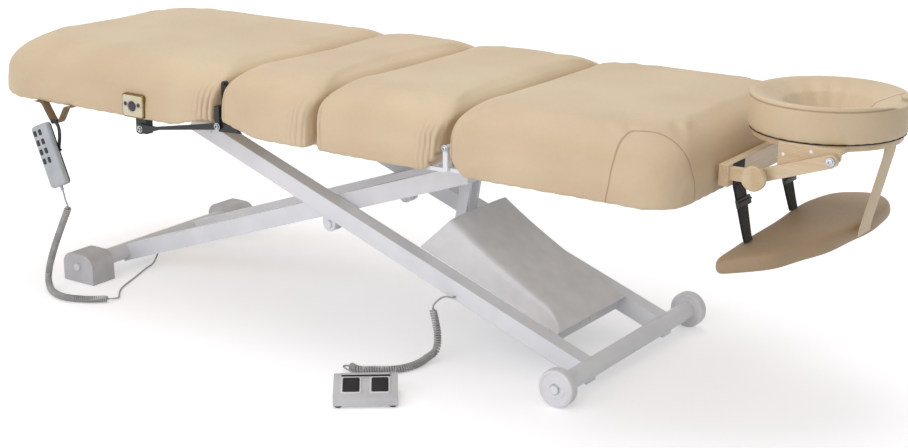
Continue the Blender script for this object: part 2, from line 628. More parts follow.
# %% Woven webbing
def webbing(name, colour, shade, along="z", across="y", rib_mm=1.6, roughness=0.8):
    """sine(2 pi a / rib) times sine(2 pi b / 0.8 rib), a along the strap and b across it."""
    material, tree, place = new_material(name)
    split = add(tree, "ShaderNodeSeparateXYZ", {0: place})
    waves = []
    for axis, pitch_mm in ((along, rib_mm), (across, rib_mm * 0.8)):
        turns = add(tree, "ShaderNodeMath", {0: split.outputs[axis.upper()], 1: 2 * math.pi / pitch_mm},
                    operation="MULTIPLY")
        waves.append(add(tree, "ShaderNodeMath", {0: turns}, operation="SINE"))
    weave = add(tree, "ShaderNodeMath", {0: waves[0], 1: waves[1]}, operation="MULTIPLY")
    height = add(tree, "ShaderNodeMapRange", {"Value": weave, "From Min": -1.0})
    tone = add(tree, "ShaderNodeMix", {0: height, 6: linear(shade), 7: linear(colour)}, data_type="RGBA")
    bump = add(tree, "ShaderNodeBump", {"Height": height, "Strength": 0.6, "Distance": 0.0006})
    finish_material(tree, {"Base Color": tone.outputs[2], "Roughness": roughness, "Sheen Weight": 0.15,
                           "Normal": bump})
    return material


black_web = webbing("black nylon webbing", "#1B1B1C", "#0D0D0E")
brown_web = webbing("brown cotton webbing", "#A0866A", "#7C644C", "z", "y", 2.4)


def paint(piece, *materials):
    """Gives a piece its materials, the first one to every face."""
    slots = piece.data.materials
    slots.clear()
    for material in materials:
        slots.append(material)
    return piece


paint(handset_lead, cord_pvc)
paint(foot_switch_lead, cord_pvc)
print(len(bpy.data.materials), "materials")

# %% [markdown]
# ## The padded sections
#
# Each section is a block of foam under a tight cover: its sides round over into the top
# in a broad curve, its ends roll in where two sections meet, and the bottom edge is
# drawn in and stapled under the board. The shape is a stack of outlines. Every outline
# is a rounded rectangle; going up, it shrinks along an ellipse at the sides and along a
# tighter one at the ends, and its corners grow rounder, so that no ridge runs up them.

# %% Sizes of the top
top_z, bottom_z, half_width = 588.0, 456.0, 345.0
side_run, side_drop, end_radius = 105.0, 75.0, 35.0
bottom_radius, crown = 4, 4  # of the drawn-in lower edge, and the rise of the top's middle
end_lean, lean_height = 8.0, 33.0  # an inner end leans in by this much, over this height
head_run, foot_run, head_corner, foot_corner = 55.0, 80.0, 105.0, 70.0
gap = 14.0  # between the boards of two sections
closing = 6.0  # how far each cover bulges into the gap, so that two covers nearly touch
fold_strength = {"back": 1.0, "seat": 0.4, "thigh": 0.8, "leg": 0.5}
lengths = {"back": 720.0, "seat": 247.0, "thigh": 321.0, "leg": 499.0}
starts = np.cumsum([-902.0] + [length + gap for length in lengths.values()])[:-1]
spans = {name: (start, start + length) for (name, length), start in zip(lengths.items(), starts)}
print({name: tuple(span) for name, span in spans.items()})


# %% One section's skin
def rounding(z, run, drop):
    """How far an elliptical edge of the given run and drop has come in at height z."""
    up = np.clip((z - (top_z - drop)) / drop, 0, 1)
    return run * (1 - np.sqrt(1 - up**2))


def outline_points(u, x_low, x_high, half_y, radius_left, radius_right):
    """Rounded rectangle by angle-like parameter u in 0..1, anticlockwise from the middle of
    the right end: straights and quarter circles laid end to end by their lengths."""
    rl, rr = radius_left, radius_right
    quarter = math.pi / 2
    sides = [half_y - rr, quarter * rr, x_high - x_low - rl - rr, quarter * rl, 2 * (half_y - rl),
             quarter * rl, x_high - x_low - rl - rr, quarter * rr, half_y - rr]
    marks = np.concatenate([[0.0], np.cumsum(sides)])
    s = u * marks[-1]
    piece = np.clip(np.searchsorted(marks, s, side="right") - 1, 0, 8)
    t = (s - marks[piece]) / np.maximum(np.array(sides)[piece], 1e-9)
    corners = {1: (x_high - rr, half_y - rr, rr, 0.0), 3: (x_low + rl, half_y - rl, rl, quarter),
               5: (x_low + rl, -half_y + rl, rl, 2 * quarter), 7: (x_high - rr, -half_y + rr, rr, 3 * quarter)}
    lines = {0: ((x_high, 0), (x_high, half_y - rr)), 2: ((x_high - rr, half_y), (x_low + rl, half_y)),
             4: ((x_low, half_y - rl), (x_low, -half_y + rl)), 6: ((x_low + rl, -half_y), (x_high - rr, -half_y)),
             8: ((x_high, -half_y + rr), (x_high, 0))}
    x, y = np.zeros_like(s), np.zeros_like(s)
    for k, (cx, cy, r, a0) in corners.items():
        m = piece == k
        x[m], y[m] = cx + r * np.cos(a0 + t[m] * quarter), cy + r * np.sin(a0 + t[m] * quarter)
    for k, ((ax, ay), (bx, by)) in lines.items():
        m = piece == k
        x[m], y[m] = ax + (bx - ax) * t[m], ay + (by - ay) * t[m]
    return x, y


def section_skin(name, outer_left, outer_right, around=420, shrink=0.0):
    """The closed skin of one padded section as a stack of outlines from the middle of the
    underside, round the drawn-in bottom edge, up the sides and over to the middle of the
    top. Returns rings (levels, around, 3) in mm."""
    x_low, x_high = spans[name]
    u = np.arange(around) / around
    arc = np.radians(np.linspace(0, 90, 26))
    body_z = np.linspace(bottom_z + 9, top_z - side_drop - 2, 9)
    edge = np.radians(np.linspace(-90, 0, 6))
    levels = ([(bottom_z, share, 0) for share in (0.02, 0.3, 0.6, 0.85, 0.97)]
              + [(bottom_z + bottom_radius + bottom_radius * math.sin(a), 1.0, bottom_radius * (1 - math.cos(a)))
                 for a in edge]
              + [(z, 1.0, 0) for z in body_z]
              + [(top_z - side_drop + side_drop * math.sin(a), 1.0, 0) for a in arc]
              + [(top_z + crown * (1 - share**2), share, 0) for share in np.linspace(0.97, 0.02, 22)])
    rings = []
    for z, share, tuck in levels:
        zz = np.array(min(z, top_z))
        side = float(rounding(zz, side_run, side_drop)) + tuck + shrink
        lean = end_lean * float(np.clip((top_z - end_radius - z) / lean_height, 0, 1))
        inner = lean + float(rounding(zz, end_radius, end_radius)) - closing
        left = (float(rounding(zz, head_run, side_drop)) if outer_left else inner) + tuck + shrink
        right = (float(rounding(zz, foot_run, side_drop)) if outer_right else inner) + tuck + shrink
        rise = float(np.clip((z - (top_z - side_drop)) / side_drop, 0, 1))
        radius_left = (head_corner if outer_left else 16) + rise**2 * (30 if outer_left else 60)
        radius_right = (foot_corner if outer_right else 10) + rise**2 * (50 if outer_right else 40)
        x, y = outline_points(u, x_low + left, x_high - right, half_width - side, radius_left, radius_right)
        middle_x = (x_low + x_high) / 2
        x, y = middle_x + (x - middle_x) * share, y * share
        rings.append(np.stack([x, y, np.full_like(x, z)], axis=1))
    return np.array(rings)


# %% [markdown]
# Foam pushes its cover outwards between the stapled edges. That is what a cloth
# simulation with a little pressure shows: the skin is remeshed into even quads, blown up
# gently for a few frames with gravity off, and no point may move further than a few
# millimetres, so that neighbouring sections stay apart. The result is applied, so the
# piece carries no simulation, and is then subdivided once, because the folds that follow
# are finer than the remeshed quads.


# %% Let pressure fill a cover
def fill_cover(piece, voxel_mm=8.0, pressure=3.5, cap_mm=4.0, frames=16, hold_below_mm=None):
    """Voxel remesh, cloth with pressure and no gravity, then the moves capped at cap_mm.
    Points below hold_below_mm are pinned, as the staples hold the edge."""
    scene = bpy.context.scene
    bpy.context.view_layer.objects.active = piece
    remesh = piece.modifiers.new("even_quads", "REMESH")
    remesh.mode = "VOXEL"
    remesh.voxel_size = voxel_mm / 1000
    remesh.use_smooth_shade = True
    with bpy.context.temp_override(object=piece, active_object=piece):
        bpy.ops.object.modifier_apply(modifier="even_quads")
    count = len(piece.data.vertices)
    before = np.empty(count * 3)
    piece.data.vertices.foreach_get("co", before)
    before = before.reshape(-1, 3)
    cloth = piece.modifiers.new("cover", "CLOTH")
    settings = cloth.settings
    settings.quality = 4
    settings.mass = 0.4
    settings.tension_stiffness = settings.compression_stiffness = 30
    settings.bending_stiffness = 4
    settings.use_pressure = True
    settings.uniform_pressure_force = pressure
    settings.effector_weights.gravity = 0
    cloth.point_cache.frame_start, cloth.point_cache.frame_end = 1, frames
    if hold_below_mm is not None:
        group = piece.vertex_groups.new(name="stapled")
        low = row([0, 0, hold_below_mm])[2]
        group.add(np.flatnonzero(before[:, 2] < low).tolist(), 1.0, "REPLACE")
        settings.vertex_group_mass = "stapled"
    for number in range(1, frames + 1):
        scene.frame_set(number)
    blown = piece.evaluated_get(bpy.context.evaluated_depsgraph_get())
    after = np.empty(count * 3)
    blown.data.vertices.foreach_get("co", after)
    move = after.reshape(-1, 3) - before
    size = np.linalg.norm(move, axis=1)[:, None]
    move *= np.minimum(1.0, cap_mm / 1000 / np.maximum(size, 1e-9))
    piece.modifiers.remove(cloth)
    piece.vertex_groups.clear()
    scene.frame_set(1)
    piece.data.vertices.foreach_set("co", (before + move).ravel())
    piece.data.update()
    return float(np.abs(move).max() * 1000)


def points_of(piece):
    """A mesh's points in drawing millimetres."""
    flat = np.empty(len(piece.data.vertices) * 3)
    piece.data.vertices.foreach_get("co", flat)
    return (flat.reshape(-1, 3) - drawing_to_row) * 1000


def set_points(piece, points_mm):
    """Writes points back to a mesh from drawing millimetres."""
    piece.data.vertices.foreach_set("co", row(points_mm).ravel())
    piece.data.update()


def normals_of(piece):
    """A mesh's point normals."""
    flat = np.empty(len(piece.data.vertices) * 3)
    piece.data.vertex_normals.foreach_get("vector", flat)
    return flat.reshape(-1, 3)


# %% [markdown]
# The cover is cut and sewn, so it wrinkles where it is gathered: short upright folds
# where the skin is pulled round the lower corners between two sections, and faint puckers
# along the stapled bottom edge, whose hem hangs a little at the long sides. Each fold is a
# wave along the edge that fades with the distance from the gather. The waves have uneven
# spacing, so no fold repeats. The hollows of the folds are kept as the attribute fold.


# %% Gathers and puckers
fold_reach = {"left": 24, "right": 46}  # from a section's end along the side
fold_inwards, fold_middle, fold_half_height = 26, 40, 50
fold_pitch, fold_height, pucker_height, billow_height, hem_drop = 14.0, 1.4, 0.5, 0.35, 2.5


def fold_wave(s, pitch_mm, seed):
    """A wave with uneven spacing: a sine whose phase is bent by two slower ones."""
    return np.sin(2 * math.pi * s / pitch_mm + 1.7 * np.sin(s / (pitch_mm * 2.3) + seed)
                  + 0.9 * np.sin(s / (pitch_mm * 0.9) + 2.1 * seed))


def gather(points, normals, name):
    """Folds near the section's lower inner corners and along its bottom edge, as a move
    along each point's normal. Returns the points and how deep each lies in a fold, 0 to 1."""
    x, y, z = points.T
    x_low, x_high = spans[name]
    move, crease = np.zeros(len(points)), np.zeros(len(points))
    inwards = half_width - np.abs(y)
    for end_x in (x_low, x_high):
        if end_x in (spans["back"][0], spans["leg"][1]):
            continue
        from_end = np.abs(x - end_x)
        reach = fold_reach["right" if end_x == x_high else "left"]
        near_corner = np.exp(-(from_end / reach) ** 4) * np.exp(-(inwards / fold_inwards) ** 4)
        low = np.exp(-(((z - bottom_z - fold_middle) / fold_half_height) ** 4))
        wave = fold_wave(from_end + 0.12 * inwards + 0.06 * (z - bottom_z), fold_pitch, end_x)
        strength = fold_strength[name] * near_corner * low
        move += fold_height * strength * (wave - 0.35)
        crease += 0.9 * strength * np.clip(-0.05 - wave, 0, 1)
    hem = np.exp(-((z - bottom_z) / 9) ** 2) * np.clip((np.abs(y) - half_width + 12) / 8, 0, 1)
    from_edge = np.exp(-((z - bottom_z) / 16) ** 2)
    along = np.where(np.abs(np.abs(y) - half_width) < 30, x, y)
    move += pucker_height * from_edge * fold_wave(along, 34, x_low)
    move += billow_height * fold_wave(x + 0.6 * y, 310, x_low + 1.0)
    shaped = points + normals * move[:, None]
    shaped[:, 2] -= hem_drop * hem * (0.8 + 0.2 * fold_wave(along, 120, x_high))
    return shaped, crease


# %% [markdown]
# The leg section's corners are closed with a sewn patch, an arch that starts at the
# bottom edge on the long side, rises over the corner and comes down on the end. Its
# place is worked out on the surface: one direction runs across the corner's diagonal, the
# other up the side and over the rounded edge, and the arch is an ellipse in the two.


# %% The patch seam at the leg section's corner
def patch_distance(points, corner_x, sign_y, half_spread=80.0, rise=147.0, centre=15.0):
    """Signed distance in mm to the arch, negative inside it. Across runs square to the
    corner's diagonal, from the side to the end; up is z, and over the rounded edge the
    length of its arc, so that the arch keeps its round top there."""
    x, y, z = points.T
    across = ((corner_x - x) - (half_width - sign_y * y)) / math.sqrt(2)
    turn_z = top_z - side_drop
    up = np.where(z > turn_z, turn_z + side_drop * np.arcsin(np.clip((z - turn_z) / side_drop, 0, 1)), z) - bottom_z
    share = (np.abs((across - centre) / half_spread) ** 2 + np.abs(up / rise) ** 2) ** 0.5
    distance = (share - 1) * (half_spread * 1.3 + rise) / 2
    return np.where((x < corner_x - 250) | (sign_y * y < 100), 200.0, distance)


def point_attribute(piece, name, values):
    """Stores one number for every point, for the upholstery to read."""
    attribute = piece.data.attributes.new(name, "FLOAT", "POINT")
    attribute.data.foreach_set("value", np.asarray(values, dtype=np.float32))


# %% Make the four sections
section_bodies = {"back": "back", "seat": "deck", "thigh": "thigh", "leg": "leg"}
# (which end, length, height) of the slanted cuts at the lower corners
bevel_cuts = {"seat": [(0, 112.0, 25.0)], "thigh": [(1, 36.0, 45.0)], "leg": [(0, 42.0, 38.0)], "back": []}
# the back section's lower long edges rise towards the seat
rise_from_y, rise_over_y, edge_rise, rise_before_end, rise_length = 328.0, 5.0, 24, 128, 108


def lower_corner_cuts(points, name):
    """Lifts the underside to the slanted cuts at the lower corners: within a cut's length
    from its end, no point lies below the line from its height at the end down to the
    bottom. The back section's long edges rise in the same way."""
    x, y, z = points.T
    for which, length, height in bevel_cuts[name]:
        from_end = np.abs(x - spans[name][which])
        floor_z = bottom_z + height * np.clip(1 - from_end / length, 0, 1)
        z = np.maximum(z, floor_z)
    if name == "back":
        outside = np.clip((np.abs(y) - rise_from_y) / rise_over_y, 0, 1)
        ramp = np.clip((x - (spans["back"][1] - rise_before_end)) / rise_length, 0, 1)
        z = np.maximum(z, bottom_z + edge_rise * outside * ramp)
    return np.stack([x, y, z], axis=1)


for name, body in section_bodies.items():
    skin = section_skin(name, name == "back", name == "leg", shrink=0.6)
    part_points, part_faces = closed_tube(skin)
    part_points = lower_corner_cuts(part_points, name)
    cushion = piece_of(f"{name}_section", [(part_points, part_faces)], body,
                       (f"{name}_cushion",), 180)
    moved = 0.0
    moved = fill_cover(cushion, hold_below_mm=bottom_z + 14)
    finer = cushion.modifiers.new("finer", "SUBSURF")
    finer.levels = 1
    with bpy.context.temp_override(object=cushion, active_object=cushion):
        bpy.ops.object.modifier_apply(modifier="finer")
    shaped, crease = gather(points_of(cushion), normals_of(cushion), name)
    set_points(cushion, shaped)
    near, far = (patch_distance(shaped, spans["leg"][1], sign) for sign in (-1, 1))
    point_attribute(cushion, "seam", np.where(np.abs(near) < np.abs(far), near, far))
    point_attribute(cushion, "fold", crease)
    paint(cushion, upholstery)
    print(cushion.name, len(cushion.data.vertices), "points, filled by", round(moved, 1), "mm")

# %% [markdown]
# ## The face pad
#
# The pad is a foam horseshoe with a tall outer wall, a rolled upper rim and a bowl that
# slopes to the opening for the face. One closed section is carried round an oval: its
# outer wall is upright, the rim is a tight curve with a seam, and the inner face slopes.


# %% Face pad
pad_x, pad_bottom, pad_radius = 1073.0, 572.0, 150.0
hole_half_length, hole_half_width = 60, 64


def pad_surface(around=200, section=96):
    """For each direction a the section runs from the inner bottom edge up the bowl, over
    the rim and down the outer wall: radius and height are smoothed polylines of a
    parameter t, and the rim is lower towards the far end, where the chin goes."""
    a = np.arange(around)[:, None] / around * 2 * math.pi
    hole = 1 / np.hypot(np.cos(a) / hole_half_length, np.sin(a) / hole_half_width)
    chin = np.exp(-((np.angle(np.exp(1j * a)) / 0.42) ** 2))
    knots = np.array([0.0, 0.06, 0.16, 0.34, 0.46, 0.50, 0.53, 0.57, 0.66, 0.74, 0.79, 0.83, 0.90, 1.0])
    shape = np.array([[0.04, 3.0], [0.0, 8.4], [0.02, 22.4], [0.30, 51.0], [0.72, 66.0], [0.87, 69.3],
                      [0.95, 69.5], [0.985, 66.5], [1.0, 37.0], [0.995, 11.0], [0.975, 3.7], [0.94, 0.6],
                      [0.5, 0.0], [0.04, 3.0]])
    fine = np.linspace(-0.1, 1.1, 481)
    bell = np.hanning(23) / np.hanning(23).sum()
    t = np.linspace(0, 1, section, endpoint=False)
    share, lift = (np.interp(t, fine, np.convolve(np.interp(fine % 1.0, knots, values), bell, "same"))[None, :]
                   for values in shape.T)
    r = hole + (pad_radius - hole) * share
    z = pad_bottom + lift * (1 - 0.16 * chin * (lift / 70))
    return np.stack([pad_x + r * np.cos(a), r * np.sin(a), z], axis=-1)


pad_grid = pad_surface()
face_cushion = piece_of("face_cushion", [closed_ring(pad_grid)], "cradle", ("face_pad",), 180)
pad_points = points_of(face_cushion)
pad_r = np.hypot(pad_points[:, 0] - pad_x, pad_points[:, 1])
pad_a = np.arctan2(pad_points[:, 1], pad_points[:, 0] - pad_x)
pad_wrinkle = (0.8 * np.exp(-((pad_r - 95) / 34) ** 2) * fold_wave(pad_a * 90, 31, 0.4)
               + 0.5 * np.exp(-((pad_points[:, 2] - pad_bottom - 8) / 9) ** 2) * fold_wave(pad_a * 150, 24, 2.0))
set_points(face_cushion, pad_points + normals_of(face_cushion) * pad_wrinkle[:, None])
rim_seam = np.where(pad_r > 130, pad_points[:, 2] - (pad_bottom + 62.0), 200.0)
chin_seam = np.where((pad_r < 140) & (pad_points[:, 0] > pad_x), pad_r * np.sin(pad_a - 0.55), 200.0)
point_attribute(face_cushion, "seam", np.where(np.abs(rim_seam) < np.abs(chin_seam), rim_seam, chin_seam))
paint(face_cushion, upholstery)

# %% Countersunk screws in the gussets, flush because the arms swing past them
face_y, sunk_y, head_radius = -149.96, -149.3, 3.4
flush = [turned([(0.1, face_y), (head_radius, face_y), (head_radius, sunk_y), (0.1, sunk_y)], (x, 0, z), "y", 24)
         for x, z in ((1051, 548), (1105, 560))]
flush += [(points * [1, -1, 1], faces) for points, faces in flush]
paint(piece_of("gusset_screws", flush, "cradle", (), 40), zinc_plate)

# %% Black felt between the pad and its ring
felt_around, felt_inner, felt_outer, felt_low, felt_high = 160, 143.0, 146.6, 571.6, 573.6
a = np.linspace(0, 2 * math.pi, felt_around, endpoint=False)[:, None]
felt_r = np.array([felt_inner, felt_outer, felt_outer, felt_inner])[None, :]
felt_z = np.broadcast_to(np.array([felt_low, felt_low, felt_high, felt_high])[None, :], (felt_around, 4))
felt_grid = np.stack([pad_x + felt_r * np.cos(a), felt_r * np.sin(a), felt_z], axis=-1)
felt = piece_of("pad_felt", [closed_ring(felt_grid)], "cradle", (), 40)
paint(felt, black_rubber)

# %% [markdown]
# ## The armrest shelf
#
# A plywood plate under soft foam, covered in the same upholstery, hangs below the cradle
# on two black straps and one covered strap. Its plan is nearly straight along the table's
# end and runs from a blunt point at the near side to a round far end, and it hangs tilted.
# The outline is a smooth closed curve through chosen points, lofted over a soft-edged
# profile.

# %% Shelf
shelf_centre = np.array([1058.0, 0.0, 346.0])
shelf_length, shelf_half, shelf_height = 196.0, 237.0, 34.0
shelf_shares = np.array([
    [-0.49, -0.95], [-0.44, -1], [-0.34, -0.97], [-0.17, -0.88], [0.01, -0.76], [0.15, -0.57], [0.32, -0.28],
    [0.44, 0.1], [0.5, 0.42], [0.46, 0.74], [0.3, 0.93], [0.11, 1], [-0.11, 0.96], [-0.28, 0.84],
    [-0.37, 0.66], [-0.4, 0.42], [-0.425, 0], [-0.455, -0.4], [-0.48, -0.7], [-0.495, -0.87]])


def closed_outline(shares, count):
    """A closed smooth curve through the points, resampled evenly."""
    loop = np.vstack([shares[-2:], shares, shares[:3]])
    line = smooth_route(np.hstack([loop, np.zeros((len(loop), 1))]), 16)[2 * 16:-2 * 16]
    run = run_along(line)
    return even(line, np.linspace(0, run[-1], count, endpoint=False))[:, :2]


outline_count = 220
shelf_outline = closed_outline(shelf_shares, outline_count)
profile = np.array([(0.02, 0.0), (0.5, 0.0), (0.86, 0.0), (0.94, 0.03), (0.975, 0.09), (0.99, 0.18), (1.0, 0.32),
                    (1.0, 0.48), (0.995, 0.62), (0.982, 0.76), (0.955, 0.87), (0.91, 0.94), (0.84, 0.98),
                    (0.7, 0.995), (0.5, 1.0), (0.3, 1.0), (0.02, 1.0)])
fine_profile = smooth_route(np.hstack([profile, np.zeros((len(profile), 1))]), 4)[:, :2]
tilt_x, tilt_y = math.radians(4), math.radians(-6)
grid_size = (len(fine_profile), outline_count)
rings = np.stack([
    np.broadcast_to(shelf_outline[None, :, 0] * shelf_length * fine_profile[:, :1], grid_size),
    np.broadcast_to(shelf_outline[None, :, 1] * shelf_half * fine_profile[:, :1], grid_size),
    np.broadcast_to(shelf_height * fine_profile[:, 1:], grid_size)], axis=-1)
tip_x = np.array([[1, 0, 0], [0, math.cos(tilt_x), -math.sin(tilt_x)], [0, math.sin(tilt_x), math.cos(tilt_x)]])
rings = rings @ tip_x.T @ about_y(math.degrees(tilt_y)).T + shelf_centre
arm_cushion = piece_of("arm_cushion", [closed_tube(rings)], "leg", ("armrest_shelf",), 180)
shelf_points = points_of(arm_cushion)
shelf_move = 0.7 * fold_wave(shelf_points[:, 0] * 0.6 + shelf_points[:, 1] * 0.5, 83, 1.1)
set_points(arm_cushion, shelf_points + normals_of(arm_cushion) * shelf_move[:, None])
paint(arm_cushion, upholstery)

# %% Straps that carry the shelf
strap_x = 958.3


def strap_surface(path, width_direction, width, thickness):
    """A flat strap: a rectangle with rounded corners carried along a path. The width runs
    along a fixed direction or one direction per path point; the thickness is square to
    both. The width may change along the path."""
    path = np.asarray(path, dtype=float)
    tangent = np.gradient(path, axis=0)
    tangent /= np.linalg.norm(tangent, axis=1)[:, None]
    across = np.broadcast_to(np.asarray(width_direction, dtype=float), path.shape)
    across = across - tangent * (across * tangent).sum(axis=1)[:, None]
    across /= np.linalg.norm(across, axis=1)[:, None]
    normal = np.cross(tangent, across)
    corner = np.array([[-1, -0.4], [-0.97, -0.8], [-0.9, -1], [0.9, -1], [0.97, -0.8], [1, -0.4],
                       [1, 0.4], [0.97, 0.8], [0.9, 1], [-0.9, 1], [-0.97, 0.8], [-1, 0.4]])
    width = np.broadcast_to(np.asarray(width, dtype=float), (len(path),))[:, None, None]
    rings = (path[:, None, :] + width / 2 * corner[None, :, :1] * across[:, None, :]
             + thickness / 2 * corner[None, :, 1:] * normal[:, None, :])
    return closed_tube(rings)


for side, y, low_z, buckle_x in (("near", -136.0, 364.7, 966.6), ("far", 70.0, 379.1, 967.9)):
    drop = smooth_route([[strap_x, y, 518], [strap_x, y, 500], [strap_x, y, 477], [strap_x + 4, y, 460],
                         [984.3 - 3, y, low_z + 9], [984.3, y, low_z]], 10)
    taper = np.interp(run_along(drop), [0, 70, 150], [50, 44, 32])
    band = strap_surface(drop, (0, 1, 0), taper, 2.4)
    second = strap_surface(drop[22:] + [2.8, 0, 0], (0, 1, 0), taper[22:] - 2, 1.8)
    surround = rounded_box((7, 56, 18), 2.5, (buckle_x + 4.4, y, 441), about_y(-14))
    bar = rounded_box((5, 50, 4), 1.6, (buckle_x + 8.6, y, 444), about_y(-14))
    shelf_strap = piece_of(f"shelf_strap_{side}_web", [band, second], "leg", (f"shelf_strap_{side}",))
    paint(shelf_strap, black_web)
    buckle = piece_of(f"shelf_buckle_{side}", [surround, bar], "leg")
    paint(buckle, black_abs)

end_path = smooth_route([[1190, 12, 566], [1192.5, 12, 560], [1193, 13, 545], [1180, 16, 490],
                         [1162, 19, 420], [1154, 20, 388], [1152, 20, 372]], 12)
end_strap = piece_of("end_strap", [strap_surface(end_path, (0, 1, 0), 58, 3.4)], "cradle",
                     ("shelf_end_strap",))
end_points = points_of(end_strap)
point_attribute(end_strap, "seam", np.abs(end_points[:, 1] - np.interp(end_points[:, 2], [372, 566], [20, 12])) - 22)
paint(end_strap, upholstery)

# %% [markdown]
# ## The motor cover
#
# The cover is one vacuum-formed or moulded hood over the lift drive. Its section is a
# flat top with a slope to each tube; towards the lower end the top falls and fans out to
# the corners, and the open upper end leans back. The section is carried down the tubes
# as a grid, then a Solidify modifier gives it its wall and a subdivision softens it.

# %% Cover
outer_slope = math.radians(-19.85)
half_tube = 20
upright = half_tube / math.cos(outer_slope)
line_height = 276.5  # of the wheel frame tube's middle line at x = 0
open_x, ridge_x, low_x = 223.0, 500.0, 575.0
open_height, low_height, half_foot, half_ridge, end_leans = 70.0, 30.0, 143.7, 112.0, 36.0


def cover_surface(stations=60, across=61):
    """Rows run down the tubes from the open end; columns run over the section from one
    foot to the other. Each section is a polyline, softened at its corners, whose height
    and ridge width are functions of the share of the way down."""
    share = np.linspace(0, 1, stations)[:, None]
    x = open_x + (low_x - open_x) * share
    ridge_share = (ridge_x - open_x) / (low_x - open_x)
    straight = np.minimum(1, share / ridge_share)
    bend = np.maximum(0, share - ridge_share) / (1 - ridge_share)
    fall = 1 - bend**2
    height = (open_height + (low_height - open_height) * straight) * fall
    ridge = half_ridge + (half_foot - half_ridge) * (1 - np.sqrt(1 - np.minimum(bend, 1) ** 2))
    v = np.linspace(-1, 1, across)[None, :]
    knots = [0, 0.33, 0.43, 0.50, 0.57, 0.78, 0.97, 1.0]
    y_share = np.interp(np.abs(v), knots, [0, 0.66, 0.86, 0.95, 1.0, 1.19, 1.96, 2.0])
    y = np.where(y_share <= 1, y_share * ridge, ridge + (y_share - 1) * (half_foot - ridge)) * np.sign(v)
    h_share = np.interp(np.abs(v), knots, [1.03, 1.015, 0.995, 0.96, 0.9, 0.66, 0.03, 0.0])
    h = height * h_share
    lean = end_leans * (1 - share) ** 2 * h / open_height
    nx, nz = -math.sin(outer_slope), math.cos(outer_slope)
    base = line_height + math.tan(outer_slope) * x + upright + 1.0
    return np.stack([x + nx * h + lean, np.broadcast_to(y, h.shape), base + nz * h], axis=-1)


cover_grid = cover_surface()
cover_points, cover_faces = cover_grid.reshape(-1, 3), [tuple(f) for f in quads(*cover_grid.shape[:2]).tolist()]
hood = piece_of("drive_hood", [(cover_points, cover_faces)], "wheel_frame", ("motor_cover",), 60)
hood_normal_up = normals_of(hood)[:, 2].mean()
wall = hood.modifiers.new("wall", "SOLIDIFY")
wall.thickness = 0.0026
wall.offset = -1.0 if hood_normal_up > 0 else 1.0
soft = hood.modifiers.new("soft", "SUBSURF")
soft.levels = soft.render_levels = 1
paint(hood, grey_abs)

# %% [markdown]
# ## Wheels, feet and bolts
#
# The wheels are cast nylon discs with a slightly sunk web and a hub cap. The feet are
# moulded blocks, and a bolt head sits in the face of each. All are turned profiles.

# %% Wheels
wheel_x, wheel_z, wheel_y, half_wheel = 660, 40, 281.0, 12.2
for side, out in (("near", -1), ("far", 1)):
    profile = [(6.4, -12), (20, -12), (22, -10.5), (31, -10.5), (33, -12), (36.5, -12), (38.6, -11), (39.8, -8.5),
               (40, -6), (40, 6), (39.8, 8.5), (38.6, 11), (36.5, 12), (33, 12), (31, 10.5), (22, 10.5),
               (20, 12), (6.4, 12)]
    rim = turned(profile, (wheel_x, wheel_y * out, wheel_z), "y", 72)
    wheel = piece_of(f"wheel_{side}_disc", [rim], f"{side}_wheel", (f"wheel_{side}",), 28)
    paint(wheel, wheel_nylon)
    hub = piece_of(f"wheel_{side}_bolt", [bolt_head((wheel_x, out * (wheel_y + half_wheel), wheel_z), "y", out,
                                                          6.5, 5.0, 12.0)], "wheel_frame")
    paint(hub, zinc_plate)

# %% Bolt heads: place, side of the table and radius
head_height, washer_margin = 4.6, 2.6
bolts = {
    "foot_frame": [((-694, -293.3, 40), -1, 7.5), ((-694, 293.3, 40), 1, 7.5)],
    "deck": [((-344, -184.4, 410), -1, 8.0), ((-344, 184.4, 410), 1, 8.0)],
    "back": [((-175, -338.2, 469), -1, 5.5), ((-410, -338.2, 431), -1, 5.5),
             ((-175, 338.2, 469), 1, 5.5), ((-410, 338.2, 431), 1, 5.5)],
    "cradle_arms": [((1148, -164.2, 550), -1, 6.0), ((1148, 164.2, 550), 1, 6.0)],
    "thigh": [((421, -331, 505), -1, 5.0), ((421, 331, 505), 1, 5.0)],
}
for body, places in bolts.items():
    parts = [bolt_head(centre, "y", out, radius, head_height, radius + washer_margin)
             for centre, out, radius in places]
    paint(piece_of(f"{body}_bolts", parts, body), zinc_plate)

# %% [markdown]
# ## Handset, its web and the outlet
#
# Handset, outlet and foot switch are small mouldings with rounded corners in plan. One
# outline, drawn in at each end, makes them: a stack of rounded rectangles whose inset
# grows towards the faces, as the draft and the edge radius of a moulding do.


# %% Plates with rounded corners
def plate(width, height, corner, levels, centre, turn=None, around=72):
    """Rounded rectangles in the x-z plane, one per (y, inset) of levels, laid front to back
    and closed at both ends. turn is a 3x3 matrix about the centre."""
    u = np.arange(around) / around
    rings = []
    for y, inset in levels:
        radius = max(corner - inset, 0.6)
        x, z = outline_points(u, inset - width / 2, width / 2 - inset, height / 2 - inset, radius, radius)
        rings.append(np.stack([x, np.full_like(x, y), z], axis=1))
    rings = np.array(rings)
    if turn is not None:
        rings = rings @ np.asarray(turn).T
    return closed_tube(rings + np.asarray(centre, dtype=float))


